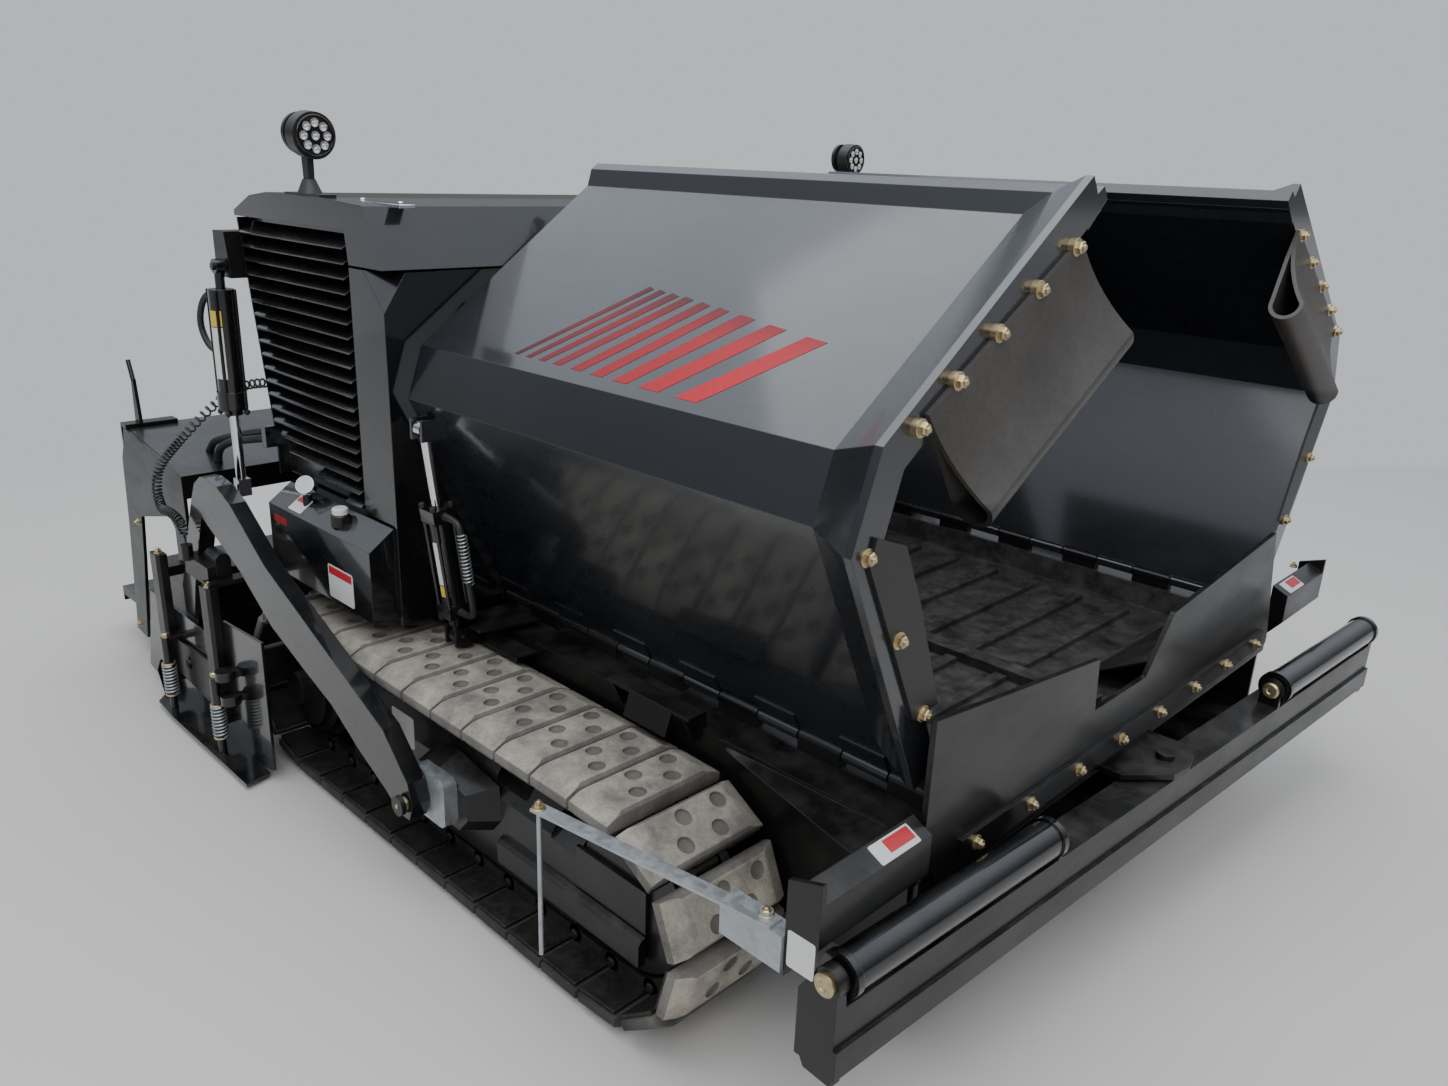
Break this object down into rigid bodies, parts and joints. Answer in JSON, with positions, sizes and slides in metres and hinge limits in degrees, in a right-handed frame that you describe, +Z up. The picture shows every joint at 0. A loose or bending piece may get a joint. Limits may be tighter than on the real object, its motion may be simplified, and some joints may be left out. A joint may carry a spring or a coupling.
{
  "type": "tracked asphalt paver",
  "caption": "Small tracked asphalt paver with a folding-wing hopper, push rollers, slatted engine house, towed screed, augers, end gates and lift cylinders.",
  "frame": {"origin": "on the ground, below the middle of the whole machine", "axes": "+X forward to the hopper and push rollers, +Y to the machine's left, +Z up"},
  "size_m": [3.415, 2.65, 1.7568],
  "materials": {
    "black_paint": "gloss",
    "frame_paint": "satin",
    "worn_steel": "worn",
    "zinc": "plated",
    "cast_metal": "rough",
    "chrome_rod": "polished",
    "track_rubber": "worn",
    "soft_rubber": "matt",
    "lamp_black": "gloss"
  },
  "bodies": {
    "chassis": {"chassis_frame": "black_paint", "track_left": "track_rubber", "track_right": "track_rubber", "running_wheels": "cast_metal", "roller_frames": "frame_paint", "wing_hinges": "frame_paint", "hopper_floor": "worn_steel", "conveyor": "worn_steel", "hopper_back": "worn_steel", "front_apron": "black_paint", "engine_house": "black_paint", "louvres": "black_paint", "engine": "cast_metal", "side_tanks": "black_paint", "lift_brackets": "black_paint", "auger_hanger": "frame_paint", "steering_guide": "zinc", "tow_blocks": "zinc", "coiled_cord": "soft_rubber", "screed_hose_upper": "soft_rubber", "screed_hose_lower": "soft_rubber"},
    "hood": {"hood_lid": "black_paint", "work_lamps": "lamp_black"},
    "bumper": {"bumper_beam": "black_paint"},
    "screed": {"screed_body": "black_paint", "tow_arms": "black_paint", "gate_guides": "worn_steel"},
    "guide_bar": {"guide_bar": "zinc"},
    "wing_left": {"wing_left": "black_paint", "wing_flaps_left": "soft_rubber"},
    "wing_barrel_left": {"wing_barrel_left": "black_paint"},
    "wing_rod_left": {"wing_rod_left": "chrome_rod"},
    "push_roller_left": {"push_roller_left": "worn_steel"},
    "end_gate_left": {"end_gate_left": "black_paint"},
    "auger_left": {"auger_left": "worn_steel"},
    "lift_barrel_left": {"lift_barrel_left": "black_paint", "lift_hose_left": "soft_rubber"},
    "lift_rod_left": {"lift_rod_left": "chrome_rod"},
    "wing_right": {"wing_right": "black_paint", "wing_flaps_right": "soft_rubber"},
    "wing_barrel_right": {"wing_barrel_right": "black_paint"},
    "wing_rod_right": {"wing_rod_right": "chrome_rod"},
    "push_roller_right": {"push_roller_right": "worn_steel"},
    "end_gate_right": {"end_gate_right": "black_paint"},
    "auger_right": {"auger_right": "worn_steel"},
    "lift_barrel_right": {"lift_barrel_right": "black_paint", "lift_hose_right": "soft_rubber"},
    "lift_rod_right": {"lift_rod_right": "chrome_rod"}
  },
  "joints": [
    {"name": "hood_hinge", "type": "hinge", "parent": "chassis", "child": "hood", "pos_m": [-0.724, 0, 1.498], "axis": [0, -1, 0], "range_deg": [0, 60]},
    {"name": "wing_left_hinge", "type": "hinge", "parent": "chassis", "child": "wing_left", "pos_m": [0.783, 0.756, 0.574], "axis": [-1, 0, 0], "range_deg": [0, 40]},
    {"name": "wing_barrel_left_hinge", "type": "hinge", "parent": "chassis", "child": "wing_barrel_left", "pos_m": [0.17, 0.962, 0.535], "axis": [-1, 0, 0], "range_deg": [0, 46]},
    {"name": "wing_rod_left_slide", "type": "slide", "parent": "wing_barrel_left", "child": "wing_rod_left", "axis": [0, 0.1261, 0.992], "range_m": [-0.137, 0]},
    {"name": "wing_right_hinge", "type": "hinge", "parent": "chassis", "child": "wing_right", "pos_m": [0.783, -0.756, 0.574], "axis": [1, 0, 0], "range_deg": [0, 40]},
    {"name": "wing_barrel_right_hinge", "type": "hinge", "parent": "chassis", "child": "wing_barrel_right", "pos_m": [0.17, -0.962, 0.535], "axis": [1, 0, 0], "range_deg": [0, 46]},
    {"name": "wing_rod_right_slide", "type": "slide", "parent": "wing_barrel_right", "child": "wing_rod_right", "axis": [0, -0.1261, 0.992], "range_m": [-0.137, 0]},
    {"name": "bumper_swivel", "type": "hinge", "parent": "chassis", "child": "bumper", "pos_m": [1.58, 0, 0.34], "axis": [0, 0, 1], "range_deg": [0, 6.1]},
    {"name": "push_roller_left_spin", "type": "hinge", "parent": "bumper", "child": "push_roller_left", "pos_m": [1.60496, -0.00133, 0.45], "axis": [0.0532, 0.9986, 0], "continuous": true},
    {"name": "push_roller_right_spin", "type": "hinge", "parent": "bumper", "child": "push_roller_right", "pos_m": [1.60496, -0.00133, 0.45], "axis": [0.0532, 0.9986, 0], "continuous": true},
    {"name": "screed_lift", "type": "hinge", "parent": "chassis", "child": "screed", "pos_m": [0.347, 0, 0.247], "axis": [0, 1, 0], "range_deg": [-2, 9], "deforming": ["coiled_cord", "screed_hose_upper", "screed_hose_lower"]},
    {"name": "lift_barrel_left_hinge", "type": "hinge", "parent": "chassis", "child": "lift_barrel_left", "pos_m": [-0.7, 1.11, 1.363], "axis": [0, 1, 0], "range_deg": [-11, 2.5]},
    {"name": "lift_rod_left_slide", "type": "slide", "parent": "lift_barrel_left", "child": "lift_rod_left", "axis": [0, 0, -1], "range_m": [-0.152, 0.035]},
    {"name": "end_gate_left_slide", "type": "slide", "parent": "screed", "child": "end_gate_left", "axis": [0, 0, 1], "range_m": [0, 0.06]},
    {"name": "auger_left_spin", "type": "hinge", "parent": "chassis", "child": "auger_left", "pos_m": [-0.735, 0.55, 0.27], "axis": [0, 1, 0], "continuous": true},
    {"name": "lift_barrel_right_hinge", "type": "hinge", "parent": "chassis", "child": "lift_barrel_right", "pos_m": [-0.7, -1.11, 1.363], "axis": [0, 1, 0], "range_deg": [-11, 2.5]},
    {"name": "lift_rod_right_slide", "type": "slide", "parent": "lift_barrel_right", "child": "lift_rod_right", "axis": [0, 0, -1], "range_m": [-0.152, 0.035]},
    {"name": "end_gate_right_slide", "type": "slide", "parent": "screed", "child": "end_gate_right", "axis": [0, 0, 1], "range_m": [0, 0.06]},
    {"name": "auger_right_spin", "type": "hinge", "parent": "chassis", "child": "auger_right", "pos_m": [-0.735, -0.55, 0.27], "axis": [0, 1, 0], "continuous": true},
    {"name": "guide_bar_swivel", "type": "hinge", "parent": "chassis", "child": "guide_bar", "pos_m": [1.4, -1.16, 0.49], "axis": [0, 0, 1], "range_deg": [0, 40]}
  ],
  "couplings": [
    {"joint": "wing_barrel_left_hinge", "follows": "wing_left_hinge", "ratio": 1.145},
    {"joint": "wing_rod_left_slide", "follows": "wing_left_hinge", "m_per_rad": -0.194},
    {"joint": "wing_barrel_right_hinge", "follows": "wing_right_hinge", "ratio": 1.145},
    {"joint": "wing_rod_right_slide", "follows": "wing_right_hinge", "m_per_rad": -0.194},
    {"joint": "lift_barrel_left_hinge", "follows": "screed_lift", "ratio": -1.2},
    {"joint": "lift_rod_left_slide", "follows": "screed_lift", "m_per_rad": -0.96},
    {"joint": "lift_barrel_right_hinge", "follows": "screed_lift", "ratio": -1.2},
    {"joint": "lift_rod_right_slide", "follows": "screed_lift", "m_per_rad": -0.96}
  ]
}
